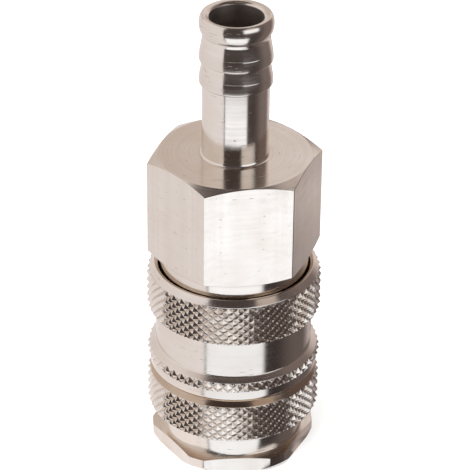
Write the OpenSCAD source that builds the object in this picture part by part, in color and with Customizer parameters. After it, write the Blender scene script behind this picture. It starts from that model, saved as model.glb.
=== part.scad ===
// Air quick coupling: the socket half, with a knurled release sleeve, a knurled
// safety ring and a barbed hose tail. All sizes are in millimetres.
// The coupling stands on its mouth. Z runs up its axis, from the mouth to the hose.

/* [Plug bore] */
// Bore that the plug's nose fits
plug_d = 12.2; // [11:0.1:14]
// How much wider the entry is than the bore, on the radius
mouth_step = 0.2; // [0.1:0.05:0.6]
// Chamfer round the mouth
mouth_chamfer = 0.6; // [0.2:0.1:1.2]
// Plain bore between the entry and the first row of balls
mouth_land = 1.9; // [1:0.1:3]
// Section of the O-ring round the plug
plug_seal_d = 1.7; // [1.2:0.1:2]
// How far that O-ring stands into the bore
plug_seal_bite = 0.2; // [0.1:0.05:0.4]

/* [Locking balls] */
// Diameter of the balls
ball_d = 3; // [2.4:0.1:3.6]
// How far the balls stand into the bore
ball_bite = 0.75; // [0.4:0.05:0.9]
// How far a released ball moves outwards
ball_lift = 0.8; // [0.5:0.05:1]
// Metal outside a locked ball
ball_cover = 0.15; // [0.1:0.05:0.4]
// Metal between the retaining ring's groove and the sleeve's row of balls
lock_gap = 0.97; // [0.6:0.01:3]

/* [Nose and flange] */
// Thickness of the hexagon flange at the mouth
flange_t = 2.6; // [2:0.1:5]
// How far that flange's flats stand out from the nose
flange_lip = 0.51; // [0.2:0.01:2]
// How far its turned corners stand out from the nose
flange_corner = 1.64; // [0.6:0.02:2]
// Turn of that flange against the upper hexagon, in degrees
flange_turn = -6.5; // [-30:0.5:30]
// Nose that still shows when the safety ring is pulled down
nose_spare = 1.1; // [0.5:0.1:4]
// Wall of the nose round the spring's pocket
nose_wall = 0.94; // [0.7:0.02:2]
// Metal below that pocket's floor, above the flange
pocket_base = 1.9; // [0.6:0.1:3]

/* [Safety ring] */
// How far the safety ring slides down
ring_travel = 3; // [1.5:0.1:5]
// Metal of its inner web above the ball holes
web_lip = 0.57; // [0.5:0.01:2]
// Overlap of its skirt on the nose at rest
skirt_lap = 1.8; // [0.6:0.1:4]
// Chamfer round its top
ring_chamfer = 1.2; // [0.3:0.05:1.2]

/* [Release sleeve] */
// How far it slides up
sleeve_travel = 1.8; // [1.5:0.1:2.4]
// Smooth rim at its lower end
low_rim = 1.6; // [0.6:0.1:3]
// Length of its lower knurl
low_knurl = 1.6; // [1:0.1:3]
// Length of the smooth band
band_len = 6.6; // [5:0.1:10]
// Length of its upper knurl
top_knurl = 6.7; // [4:0.1:10]
// Smooth rim at its upper end
top_rim = 1; // [0.5:0.1:2]
// How far the band lies below the knurls
band_depth = 1.49; // [1:0.01:1.8]
// Wall of the band round the spring
band_wall = 1.26; // [0.8:0.02:2]
// Wall of the upper end round the skirt of the hexagon
mouth_wall = 1.65; // [1.2:0.05:2]

/* [Knurl] */
// Lines of each hand round the grip
knurl_lines = 53; // [24:1:72]
// Height of one diamond along the axis
knurl_pitch = 1.35; // [1:0.05:2.5]
// Depth of the knurl
knurl_depth = 0.35; // [0.15:0.05:0.5]

/* [Hexagon and hose tail] */
// How far the hexagon's flats stand out from the turned skirt below it
hex_step = 0.2; // [0.1:0.05:3]
// Length of the hexagon
hex_len = 17.2; // [12:0.1:24]
// Slope of the chamfers at its ends, in degrees
hex_slope = 24; // [10:1:40]
// How far the end faces' circles lie inside the flats
hex_inset = 0.14; // [0.05:0.01:0.6]
// Depth of the threaded joint
thread_len = 11.3; // [9:0.1:14]
// Bore of the hose tail
tail_bore_d = 8.3; // [6:0.1:10]
// Wall of the hose tail at its plain stem
tail_wall = 0.96; // [0.8:0.02:1.6]
// Height of a barb over the stem
barb_height = 0.49; // [0.3:0.01:0.9]
// Number of barbs
barbs = 2; // [1:1:4]
// Height of the lowest barb's crest above the hexagon
barb_rise = 12.5; // [6:0.1:20]
// Distance from barb to barb
barb_pitch = 3.85; // [3:0.05:6]
// Height of the tip above the last barb's crest
tip_rise = 7.55; // [7:0.05:12]
// Height of the end bead over the stem
bead_height = 0.54; // [0.3:0.01:0.9]

/* [Valve] */
// How far the plug lifts the valve
valve_travel = 4; // [3:0.1:5]
// Thickness of the valve's seat
seat_t = 2; // [1:0.1:3]
// Wall of the body round the valve
valve_wall = 1.5; // [1.1:0.05:2]
// Air gap round the valve's head
flow_gap = 0.7; // [0.5:0.05:1]
// Thickness of the valve's flat seal
valve_seal_t = 1; // [0.6:0.1:1.6]
// Thickness of the valve's head
head_t = 1.7; // [1.2:0.1:3]
// Diameter of the valve's stem
stem_d = 3; // [2:0.1:3.4]
// Thickness of the guide disc
guide_t = 1.5; // [1:0.1:2.5]
// Thickness of the flat gasket on the threaded joint
gasket_t = 1; // [0.5:0.1:2]

/* [Springs] */
// Wire of the release sleeve's spring
sleeve_wire = 1; // [0.7:0.05:1.2]
// Wire of the safety ring's spring
ring_wire = 0.7; // [0.5:0.05:0.8]
// Wire of the valve's spring
valve_wire = 0.7; // [0.4:0.05:0.8]
// Turns of the release sleeve's spring
sleeve_turns = 4.5; // [3:0.5:6]
// Turns of the safety ring's spring
ring_turns = 4.5; // [3:0.5:6]
// Turns of the valve's spring
valve_turns = 6; // [4:0.5:8]
// Thickness of the retaining ring
stop_t = 1; // [0.6:0.1:1.6]

/* [Hidden] */
$fn = 96;
BALLS = 6;
EPS = 0.02;

// Clearances on the radius or along the axis
run_clear = 0.06;
seat_clear = 0.05;
seal_clear = 0.02;
coil_clear = 0.75;
ring_coil_clear = 0.65;
grip_gap = 0.1;
stop_gap = 0.2;
sleeve_gap = 0.3;
ball_clear = 0.03;
recess_clear = 0.45;

// Radii, from the plug outwards
plug_r = plug_d / 2;
mouth_r = plug_r + mouth_step;
ball_r = ball_d / 2;
ball_in = plug_r - ball_bite + ball_r;
shank_r = ball_in + ball_r + ball_cover;
land_r = shank_r + run_clear;
recess_r = ball_in + ball_r + ball_lift + recess_clear;
chamber_r = shank_r + sleeve_wire + 2 * coil_clear;
band_r = chamber_r + band_wall;
grip_r = band_r + band_depth;
root_r = grip_r - knurl_depth;
root_cover = 0.1;
blank_r = root_r - root_cover;
knurl_lap = 0.5;
knurl_edge = 0.12;
knurl_turn = 0.37;
end_proud = 0.03;
sleeve_bore_r = grip_r - mouth_wall;
skirt_r = sleeve_bore_r - sleeve_gap;
pocket_r = shank_r + ring_wire + 2 * ring_coil_clear;
nose_r = pocket_r + nose_wall;
flange_r = nose_r + flange_corner;
ring_bore_r = nose_r + run_clear;
thread_r = shank_r + seat_clear;
hex_r = skirt_r + hex_step;
hex_corner_r = hex_r / cos(30);

// Retaining ring, in its groove and in the counterbore of the sleeve
stop_depth = 0.5;
stop_land = 0.8;
stop_out_r = recess_r + stop_land;
stop_bore_r = stop_out_r + stop_gap;
stop_opening = 50;

// Rows of balls: each hole's place over the web or over the retaining ring
hole_r = ball_r + ball_clear;
guard_rise = 0.7;
guard_over = 0.5;
lock_over = 0.1;
ring_web = guard_rise + hole_r + web_lip;
lock_rise = hole_r + lock_gap;

// Heights, from the mouth upwards
ring_len = skirt_lap + stop_gap + ring_travel + ring_web;
ring_z0 = flange_t + nose_spare + ring_travel;
ring_z1 = ring_z0 + ring_len;
web_z = ring_z1 - ring_web;
nose_top = web_z - ring_travel - stop_gap;
pocket_z = flange_t + pocket_base;
stop_z = ring_z1 + stop_t;
sleeve_z0 = ring_z1 + grip_gap;
low_knurl_z = sleeve_z0 + low_rim;
band_slope = 0.6;
band_z0 = low_knurl_z + low_knurl + band_slope;
band_z1 = band_z0 + band_len;
top_knurl_z = band_z1;
sleeve_z1 = top_knurl_z + top_knurl + top_rim;
hex_z0 = sleeve_z1 + sleeve_travel + stop_gap;
hex_z1 = hex_z0 + hex_len;
tail_len = barb_rise + (barbs - 1) * barb_pitch + tip_rise;
tail_z1 = hex_z1 + tail_len;

// Balls: the safety ring's row below, the sleeve's row above
guard_z = web_z + guard_rise;
lock_z = stop_z + lock_rise;
mouth_z = guard_z - ball_r - mouth_land;

// Sleeve inside: ball land, spring chamber and bore over the hexagon's skirt
ramp = recess_r - land_r;
land_len = 2.6;
land_z0 = lock_z - lock_over;
land_z1 = land_z0 + land_len;
step_lap = 1;
chamber_z = band_z1 + step_lap;
skirt_lead = 0.9;
skirt_z0 = chamber_z + sleeve_travel + skirt_lead;

// Plug's seal and valve
plug_seal_mid = plug_r - plug_seal_bite + plug_seal_d / 2;
seal_rise = 2.5;
plug_seal_z = lock_z + ball_r + seal_rise;
plug_groove = plug_seal_d + 0.3;
plug_groove_r = plug_seal_mid + plug_seal_d / 2 + seal_clear;
floor_wall = 1.5;
floor_z = plug_seal_z + plug_groove / 2 + floor_wall;
seat_z = floor_z + seat_t;
valve_r = shank_r - valve_wall;
head_r = valve_r - flow_gap;
seal_lip = 0.35;
seal_out_r = head_r - seal_lip;
seal_width = 1.4;
pilot_r = seal_out_r - seal_width - seat_clear;
pilot_bore_r = pilot_r + run_clear;
pilot_wall = 1.15;
head_z = seat_z + valve_seal_t;
head_top = head_z + head_t;

// Threaded joint, guide disc and air way
shank_top = skirt_z0 + thread_len;
guide_z = shank_top - guide_t;
guide_r = valve_r + 0.6;
hub_wall = 1.4;
hub_r = stem_d / 2 + hub_wall;
hub_drop = 1.5;
guide_hole_r = 1;
guide_holes = 8;
gasket_in_r = guide_r - 0.65;
shoulder_z = shank_top + gasket_t;
stem_r = stem_d / 2;
stem_over = 1.5;

// Hose tail
bore_r = tail_bore_d / 2;
tail_r = bore_r + tail_wall;
crest_r = tail_r + barb_height;
bead_r = tail_r + bead_height;
tail_fillet = 0.45;
front_slope = 10;
front_round = 8;
back_slope = 70;
back_round = 0.2;
bead_round = 1.7;
bead_land = 0.8;
tip_chamfer = 0.3;

// Springs
sleeve_coil_r = (shank_r + chamber_r) / 2;
ring_coil_r = (shank_r + pocket_r) / 2;
valve_coil_room = 0.95;
valve_coil_r = hub_r + valve_coil_room + valve_wire / 2;
coil_steps = 20;

NICKEL = [0.80, 0.77, 0.72];
BRASS = [0.78, 0.63, 0.36];
STEEL = [0.62, 0.63, 0.65];
SPRING_STEEL = [0.45, 0.46, 0.48];
SEAL_BLACK = [0.08, 0.08, 0.09];

// A point list on an arc in the profile plane, from angle a0 to a1
function arc(mid, r, a0, a1, n) =
    [for (i = [0:n]) let (a = a0 + (a1 - a0) * i / n) mid + r * [cos(a), sin(a)]];

// A turned solid from its half profile of radius and height
module turned(profile) {
    rotate_extrude() polygon(profile);
}

// A washer-like ring
module tube(r_in, r_out, z0, z1) {
    translate([0, 0, z0]) difference() {
        cylinder(r = r_out, h = z1 - z0);
        translate([0, 0, -1]) cylinder(r = r_in, h = z1 - z0 + 2);
    }
}

// A hexagonal bar with flats at +Y and -Y, flat_r away from the axis
module hex_bar(flat_r, z0, z1) {
    translate([0, 0, z0]) cylinder(r = flat_r / cos(30), h = z1 - z0, $fn = 6);
}

// A ring of pyramids: peaks and groove crossings alternate on a grid of half
// pitches, each square is split along its groove, and both ends run out to the core
module grip_band(z0, z1) {
    cols = 2 * knurl_lines;
    end_r = blank_r / cos(180 / cols) + end_proud;
    rows = round(2 * (z1 - z0) / knurl_pitch);
    function place(i, j) = let (r = j == 0 || j == rows ? end_r : (i + j) % 2 == 0 ? grip_r : root_r,
        a = 360 * (i + knurl_turn) / cols)
        [r * cos(a), r * sin(a), z0 + (z1 - z0) * j / rows];
    function at(i, j) = j * cols + i % cols;
    pyramids = [for (j = [0:rows - 1], i = [0:cols - 1])
        each (i + j) % 2 == 0
            ? [[at(i, j), at(i, j + 1), at(i + 1, j)],
               [at(i + 1, j), at(i, j + 1), at(i + 1, j + 1)]]
            : [[at(i, j), at(i, j + 1), at(i + 1, j + 1)],
               [at(i, j), at(i + 1, j + 1), at(i + 1, j)]]];
    polyhedron(
        points = [for (j = [0:rows], i = [0:cols - 1]) place(i, j)],
        faces = concat(pyramids,
            [[for (i = [0:cols - 1]) at(i, 0)]],
            [[for (i = [cols - 1:-1:0]) at(i, rows)]]));
}

// A compression spring with closed ends, swept from z0 to z1
module coil(mid_r, wire, z0, z1, turns) {
    sides = 6;
    steps = round(turns * coil_steps);
    closed = 1.04 * wire;
    rise = z1 - z0 - wire - 2 * closed;
    function height(t) = t < 1 ? closed * t
        : t > turns - 1 ? closed + rise + closed * (t - turns + 1)
        : closed + rise * (t - 1) / (turns - 2);
    function place(k, s) = let (t = turns * k / steps, a = 360 * t, b = 360 * s / sides + 90)
        [(mid_r + wire / 2 * cos(b)) * cos(a), (mid_r + wire / 2 * cos(b)) * sin(a),
         z0 + wire / 2 + height(t) + wire / 2 * sin(b)];
    function at(k, s) = k * sides + s % sides;
    polyhedron(
        points = [for (k = [0:steps], s = [0:sides - 1]) place(k, s)],
        faces = concat(
            [[for (s = [sides - 1:-1:0]) at(0, s)]],
            [[for (s = [0:sides - 1]) at(steps, s)]],
            [for (k = [0:steps - 1], s = [0:sides - 1])
                each [[at(k, s), at(k, s + 1), at(k + 1, s + 1)],
                      [at(k, s), at(k + 1, s + 1), at(k + 1, s)]]]));
}

// A ring of radial holes that narrow at the bore, so that no ball falls in
module ball_holes(z) {
    throat = 0.4;
    sunk = ball_r - ball_bite;
    throat_r = sqrt(ball_r * ball_r - sunk * sunk) + ball_clear;
    for (i = [0:BALLS - 1]) rotate([0, 0, ball_angle(i)]) translate([0, 0, z])
        rotate([0, 90, 0]) {
            translate([0, 0, plug_r - 1]) cylinder(r = throat_r, h = 1 + EPS);
            translate([0, 0, plug_r]) cylinder(r1 = throat_r, r2 = hole_r, h = throat);
            translate([0, 0, plug_r + throat - EPS]) cylinder(r = hole_r, h = shank_r);
        }
}

function ball_angle(i) = 360 * i / BALLS;

module flange() {
    slope = 0.4;
    foot = 0.7;
    intersection() {
        rotate([0, 0, flange_turn]) hex_bar(nose_r + flange_lip, 0, flange_t);
        turned([[0, 0], [flange_r - foot, 0], [flange_r, foot],
                [flange_r, flange_t - slope], [nose_r, flange_t], [0, flange_t]]);
    }
}

module body_inside() {
    turned([[0, -1], [mouth_r + mouth_chamfer + 1, -1], [mouth_r, mouth_chamfer],
            [mouth_r, mouth_z], [plug_r, mouth_z + mouth_step],
            [plug_r, plug_seal_z - plug_groove / 2],
            [plug_groove_r, plug_seal_z - plug_groove / 2],
            [plug_groove_r, plug_seal_z + plug_groove / 2],
            [plug_r, plug_seal_z + plug_groove / 2], [plug_r, floor_z],
            [pilot_bore_r, floor_z], [pilot_bore_r, seat_z], [valve_r, seat_z],
            [valve_r, guide_z], [guide_r + seat_clear, guide_z],
            [guide_r + seat_clear, shank_top + 1], [0, shank_top + 1]]);
}

module coupling_body() {
    lead = 0.5;
    color(NICKEL) difference() {
        union() {
            flange();
            turned([[0, 0.5], [nose_r, 0.5], [nose_r, nose_top - lead],
                    [nose_r - lead, nose_top], [0, nose_top]]);
            turned([[0, 1], [shank_r, 1], [shank_r, shank_top - lead],
                    [shank_r - lead, shank_top], [0, shank_top]]);
        }
        body_inside();
        tube(shank_r, pocket_r, pocket_z, nose_top + 1);
        tube(shank_r - stop_depth, shank_r + 1, ring_z1, stop_z);
        ball_holes(guard_z);
        ball_holes(lock_z);
    }
}

// One barb's outline: a steep back under a sharp crest and a long slim front
function barb(z) = concat(
    arc([crest_r - back_round, z], back_round, -back_slope, 0, 4),
    arc([crest_r - front_round, z], front_round, 2, front_slope, 4));

// Height over a crest at which the slim front comes down to radius r,
// and depth below a crest at which its back does
function front_rise(r) = front_round * sin(front_slope)
    + (crest_r - front_round * (1 - cos(front_slope)) - r) / tan(front_slope);
function back_drop(r) = back_round * sin(back_slope)
    + (crest_r - back_round * (1 - cos(back_slope)) - r) / tan(back_slope);

// Radius of the valley between two barbs, where a front meets the next back
valley_r = max(tail_r, crest_r - (barb_pitch - front_rise(crest_r) - back_drop(crest_r))
    / (1 / tan(front_slope) + 1 / tan(back_slope)));

module tail() {
    bead_half = acos((bead_round - bead_height) / bead_round);
    bead_high = tail_len - bead_round * sin(bead_half) - tip_chamfer / 2;
    bead_low = bead_high - bead_land;
    last = barb_rise + (barbs - 1) * barb_pitch;
    translate([0, 0, hex_z1]) turned(concat(
        [[0, -1], [tail_r + tail_fillet, -1]],
        arc([tail_r + tail_fillet, tail_fillet], tail_fillet, 270, 180, 6),
        [[tail_r, barb_rise - back_drop(tail_r)]],
        [for (k = [0:barbs - 1]) let (z = barb_rise + k * barb_pitch)
            each concat(k > 0 ? [[valley_r, z - back_drop(valley_r)]] : [], barb(z))],
        [[tail_r, last + front_rise(tail_r)]],
        arc([bead_r - bead_round, bead_low], bead_round, -bead_half, 0, 6),
        arc([bead_r - bead_round, bead_high], bead_round, 0, bead_half, 6),
        [[tail_r - tip_chamfer, tail_len], [0, tail_len]]));
}

module hexagon() {
    face_r = hex_r - hex_inset;
    out_r = hex_corner_r + 0.5;
    drop = (out_r - face_r) * tan(hex_slope);
    intersection() {
        hex_bar(hex_r, hex_z0, hex_z1);
        turned([[0, hex_z0], [face_r, hex_z0], [out_r, hex_z0 + drop],
                [out_r, hex_z1 - drop], [face_r, hex_z1], [0, hex_z1]]);
    }
}

module hose_tail_adapter() {
    lead = 0.4;
    mouth = 0.25;
    funnel = gasket_in_r - bore_r;
    color(NICKEL) difference() {
        union() {
            hexagon();
            tail();
            turned([[0, skirt_z0], [skirt_r - lead, skirt_z0], [skirt_r, skirt_z0 + lead],
                    [skirt_r, hex_z0 + 0.5], [0, hex_z0 + 0.5]]);
        }
        turned([[0, skirt_z0 - 1], [thread_r, skirt_z0 - 1], [thread_r, shoulder_z],
                [gasket_in_r, shoulder_z], [bore_r, shoulder_z + funnel],
                [bore_r, tail_z1 - mouth], [bore_r + 2 * mouth, tail_z1 + mouth],
                [0, tail_z1 + mouth]]);
    }
}

module release_sleeve() {
    foot = 0.4;
    color(NICKEL) difference() {
        union() {
            turned([[0, sleeve_z0], [blank_r - foot, sleeve_z0], [blank_r, sleeve_z0 + foot],
                    [blank_r, low_knurl_z + low_knurl + knurl_edge], [band_r, band_z0],
                    [band_r, band_z1 + knurl_lap], [blank_r, band_z1 + knurl_lap],
                    [blank_r, top_knurl_z + top_knurl + knurl_edge],
                    [blank_r - 0.5, sleeve_z1 - 0.3], [blank_r - 0.9, sleeve_z1], [0, sleeve_z1]]);
            grip_band(low_knurl_z, low_knurl_z + low_knurl);
            grip_band(top_knurl_z, top_knurl_z + top_knurl);
        }
        turned([[0, sleeve_z0 - 1], [stop_bore_r, sleeve_z0 - 1], [stop_bore_r, stop_z],
                [recess_r, stop_z], [recess_r, land_z0 - ramp], [land_r, land_z0],
                [land_r, land_z1], [chamber_r, land_z1], [chamber_r, chamber_z],
                [sleeve_bore_r, chamber_z], [sleeve_bore_r, sleeve_z1 + 1], [0, sleeve_z1 + 1]]);
    }
}

module safety_ring() {
    foot = 0.2;
    shoulder = ring_z1 - ring_chamfer;
    color(NICKEL) difference() {
        union() {
            turned([[0, ring_z0], [blank_r - foot, ring_z0], [blank_r, ring_z0 + foot],
                    [blank_r, shoulder], [blank_r - ring_chamfer, ring_z1], [0, ring_z1]]);
            grip_band(ring_z0 + foot + knurl_edge, shoulder - knurl_edge);
        }
        turned([[0, ring_z0 - 1], [ring_bore_r, ring_z0 - 1], [ring_bore_r, web_z],
                [land_r, web_z], [land_r, guard_z + guard_over],
                [recess_r, guard_z + guard_over + ramp], [recess_r, ring_z1 + 1],
                [0, ring_z1 + 1]]);
    }
}

module stop_ring() {
    in_r = shank_r - stop_depth + seat_clear;
    color(SPRING_STEEL) rotate([0, 0, 90 + stop_opening / 2])
        rotate_extrude(angle = 360 - stop_opening)
            translate([in_r, ring_z1]) square([stop_out_r - in_r, stop_t]);
}

module sleeve_spring() {
    color(SPRING_STEEL) coil(sleeve_coil_r, sleeve_wire, land_z1, skirt_z0, sleeve_turns);
}

module ring_spring() {
    color(SPRING_STEEL) coil(ring_coil_r, ring_wire, pocket_z, web_z, ring_turns);
}

module valve_spring() {
    color(SPRING_STEEL) coil(valve_coil_r, valve_wire, head_top, guide_z, valve_turns);
}

module plug_seal() {
    color(SEAL_BLACK) translate([0, 0, plug_seal_z])
        rotate_extrude() translate([plug_seal_mid, 0]) circle(d = plug_seal_d, $fn = 48);
}

module valve_poppet() {
    nose_z = floor_z - valve_travel;
    window_w = 0.7 * pilot_r;
    window_z = nose_z + 1.2;
    color(BRASS) difference() {
        turned([[0, nose_z], [pilot_r - 0.3, nose_z], [pilot_r, nose_z + 0.3],
                [pilot_r, head_z], [seal_out_r, head_z], [seal_out_r, seat_z + 0.3],
                [head_r, seat_z + 0.3], [head_r, head_top - 0.4], [head_r - 0.4, head_top],
                [stem_r, head_top], [stem_r, shank_top + stem_over - 0.3],
                [stem_r - 0.3, shank_top + stem_over], [0, shank_top + stem_over]]);
        translate([0, 0, nose_z - 1]) cylinder(r = pilot_r - pilot_wall, h = seat_z - 0.6 - nose_z + 1);
        for (a = [0, 90]) rotate([0, 0, a])
            translate([-pilot_r - 1, -window_w / 2, window_z])
                cube([2 * pilot_r + 2, window_w, seat_z - 0.6 - window_z]);
    }
}

module valve_seal() {
    color(SEAL_BLACK) tube(pilot_r + seat_clear, seal_out_r - seal_clear, seat_z, head_z);
}

module valve_guide() {
    hole_mid = (valve_coil_r + valve_wire / 2 + gasket_in_r) / 2 + 0.2;
    color(BRASS) difference() {
        union() {
            translate([0, 0, guide_z]) cylinder(r = guide_r, h = guide_t);
            translate([0, 0, guide_z - hub_drop]) cylinder(r = hub_r, h = hub_drop + guide_t);
        }
        translate([0, 0, guide_z - hub_drop - 1]) cylinder(r = stem_r + run_clear, h = hub_drop + guide_t + 2);
        for (i = [0:guide_holes - 1]) rotate([0, 0, 360 * i / guide_holes])
            translate([hole_mid, 0, guide_z - 1]) cylinder(r = guide_hole_r, h = guide_t + 2);
    }
}

module thread_seal() {
    color(SEAL_BLACK) tube(gasket_in_r, shank_r - seat_clear, shank_top, shoulder_z);
}

module ball(i, z) {
    color(STEEL) rotate([0, 0, ball_angle(i - 1)]) translate([ball_in, 0, z]) sphere(r = ball_r);
}

coupling_body();
hose_tail_adapter();
release_sleeve();
safety_ring();
stop_ring();
sleeve_spring();
ring_spring();
plug_seal();
valve_poppet();
valve_seal();
valve_spring();
valve_guide();
thread_seal();
for (i = [1:BALLS]) ball(i, lock_z);
for (i = [1:BALLS]) ball(i, guard_z);
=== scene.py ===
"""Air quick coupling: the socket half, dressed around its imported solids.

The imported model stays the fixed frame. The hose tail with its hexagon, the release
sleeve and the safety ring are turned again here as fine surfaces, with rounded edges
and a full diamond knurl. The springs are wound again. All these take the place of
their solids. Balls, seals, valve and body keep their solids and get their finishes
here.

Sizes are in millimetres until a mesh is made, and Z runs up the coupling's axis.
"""

import logging
import math
from dataclasses import dataclass
from enum import Enum

import bpy
import numpy as np
from mathutils import Matrix, Vector


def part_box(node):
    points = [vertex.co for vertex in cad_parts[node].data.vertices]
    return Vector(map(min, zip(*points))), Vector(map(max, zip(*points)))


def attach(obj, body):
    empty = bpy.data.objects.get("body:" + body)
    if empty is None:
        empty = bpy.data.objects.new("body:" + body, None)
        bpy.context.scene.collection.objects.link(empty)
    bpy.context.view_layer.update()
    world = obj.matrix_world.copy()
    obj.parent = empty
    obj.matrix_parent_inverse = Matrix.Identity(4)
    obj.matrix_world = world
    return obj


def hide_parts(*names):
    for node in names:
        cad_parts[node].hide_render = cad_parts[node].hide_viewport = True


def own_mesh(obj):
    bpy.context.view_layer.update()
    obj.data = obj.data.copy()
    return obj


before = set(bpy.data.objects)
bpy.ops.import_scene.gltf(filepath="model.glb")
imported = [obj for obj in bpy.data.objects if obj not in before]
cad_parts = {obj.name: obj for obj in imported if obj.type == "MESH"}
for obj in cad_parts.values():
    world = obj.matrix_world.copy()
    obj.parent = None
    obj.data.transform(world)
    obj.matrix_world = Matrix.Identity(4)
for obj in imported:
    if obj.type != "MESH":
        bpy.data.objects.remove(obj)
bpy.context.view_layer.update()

MM = 0.001
"""One millimetre in metres."""
CAMERA_TURN = -10.6
"""Turn of the camera's side round the axis, in degrees from -Y."""
LOG = logging.getLogger("coupling")

Object = bpy.types.Object
Material = bpy.types.Material
Socket = bpy.types.NodeSocket
Pair = tuple[float, float]
Triple = tuple[float, float, float]


class Diagonal(Enum):
    """Which way a square of a knurl is split, so that a groove runs along the split."""

    FALLING = 0
    RISING = 1


class Slot(Enum):
    """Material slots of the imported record."""

    NICKEL = "nickel"
    KNURLED = "knurled_nickel"
    BRASS = "brass"
    BALL = "ball_steel"
    SPRING = "spring_steel"
    RUBBER = "seal_rubber"


def add_object(name: str, data: bpy.types.ID) -> Object:
    """Make an object of a mesh, a light or a camera, at the origin of the scene."""
    made = bpy.data.objects.new(name, data)
    bpy.context.scene.collection.objects.link(made)
    return made


def empty_tree(owner: Material | bpy.types.World) -> bpy.types.NodeTree:
    """Give a material or a world a node tree with nothing in it."""
    owner.use_nodes = True
    owner.node_tree.nodes.clear()
    return owner.node_tree


def plug(socket: Socket, value: object) -> None:
    """Link a socket to a value that is a socket too, or set it."""
    if isinstance(value, Socket):
        socket.id_data.links.new(value, socket)
    elif value is not None:
        socket.default_value = value


def add_node(tree: bpy.types.NodeTree, kind: str, **inputs: object) -> bpy.types.Node:
    """Add a shader node and plug its inputs; underscores stand for spaces."""
    made = tree.nodes.new("ShaderNode" + kind)
    for key, value in inputs.items():
        plug(made.inputs[key.replace("_", " ")], value)
    return made


# ---------------------------------------------------------------- turned surfaces


def softened(
    corners: np.ndarray, cuts: np.ndarray, steps: int = 3, lead: float = 0.03
) -> np.ndarray:
    """Round the corners of an open outline.

    A corner C with neighbours P and N becomes the curve
    (1 - t)^2 A + 2 t (1 - t) C + t^2 B, where A lies the cut's length from C towards P
    and B the same towards N. One more point just outside A and B keeps the long faces
    flat. A cut of 0 leaves its corner as one point, and each end gets a second point
    just inside it.

    Args:
        corners: points, of shape (corner, ..., 2); further axes are separate outlines.
        cuts: the cut's length at each corner, of shape (corner,).
        steps: number of steps along each rounded corner.
        lead: distance of the outer points from A and B.

    Returns:
        The rounded outline's points, of shape (point, ..., 2).
    """
    most_cut, most_lead = 0.44, 0.05  # shares of the shorter face at a corner
    cut = cuts.reshape((-1,) + (1,) * (corners.ndim - 1))
    back = np.concatenate([corners[:1], corners[:-1]]) - corners
    front = np.concatenate([corners[1:], corners[-1:]]) - corners
    back_len = np.linalg.norm(back, axis=-1, keepdims=True)
    front_len = np.linalg.norm(front, axis=-1, keepdims=True)
    room = np.minimum(back_len, front_len)
    cut = np.minimum(cut, most_cut * room)
    reach = cut + np.minimum(lead, most_lead * room)
    back_dir = back / np.maximum(back_len, 1e-9)
    front_dir = front / np.maximum(front_len, 1e-9)
    t = np.linspace(0, 1, steps + 1).reshape((1, -1) + (1,) * (corners.ndim - 1))
    start, end = (corners + back_dir * cut)[:, None], (corners + front_dir * cut)[:, None]
    curve = (1 - t) ** 2 * start + 2 * t * (1 - t) * corners[:, None] + t**2 * end
    before, after = (corners + back_dir * reach)[:, None], (corners + front_dir * reach)[:, None]
    whole = np.concatenate([before, curve, after], axis=1)
    keep = np.repeat(cuts[:, None] > 0, whole.shape[1], axis=1)
    plain = ~keep.any(axis=1)
    whole[plain, 0] = corners[plain]
    keep[plain, 0] = True
    keep[[0, -1]] = False
    whole[0, 0], whole[0, 1] = corners[0], corners[0] + front_dir[0] * lead
    whole[-1, 0], whole[-1, 1] = corners[-1] + back_dir[-1] * lead, corners[-1]
    keep[[0, 0, -1, -1], [0, 1, 0, 1]] = True
    return whole[keep]


def arc(mid: Pair, radius: float, start: float, end: float, steps: int) -> np.ndarray:
    """Points on an arc: mid + radius (cos a, sin a), a from start to end in degrees."""
    a = np.radians(np.linspace(start, end, steps + 1))
    return np.stack([mid[0] + radius * np.cos(a), mid[1] + radius * np.sin(a)], axis=-1)


def smoothstep(low: float | np.ndarray, high: float | np.ndarray, x: np.ndarray) -> np.ndarray:
    """The cubic 3 t^2 - 2 t^3, with t running from 0 at low to 1 at high."""
    t = np.clip((x - low) / (high - low), 0, 1)
    return t * t * (3 - 2 * t)


@dataclass
class Wall:
    """A stretch of a turned surface: radius and height on a grid of rows and columns."""

    radius: np.ndarray
    height: np.ndarray
    split: np.ndarray | None = None
    finish: int = 0

    @classmethod
    def of(cls, outline: np.ndarray, columns: int, finish: int = 0) -> "Wall":
        """Sweep an outline of shape (row, 2) or (row, column, 2) round the axis."""
        if outline.ndim == 2:
            outline = np.repeat(outline[:, None], columns, axis=1)
        return cls(outline[..., 0], outline[..., 1], finish=finish)


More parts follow.
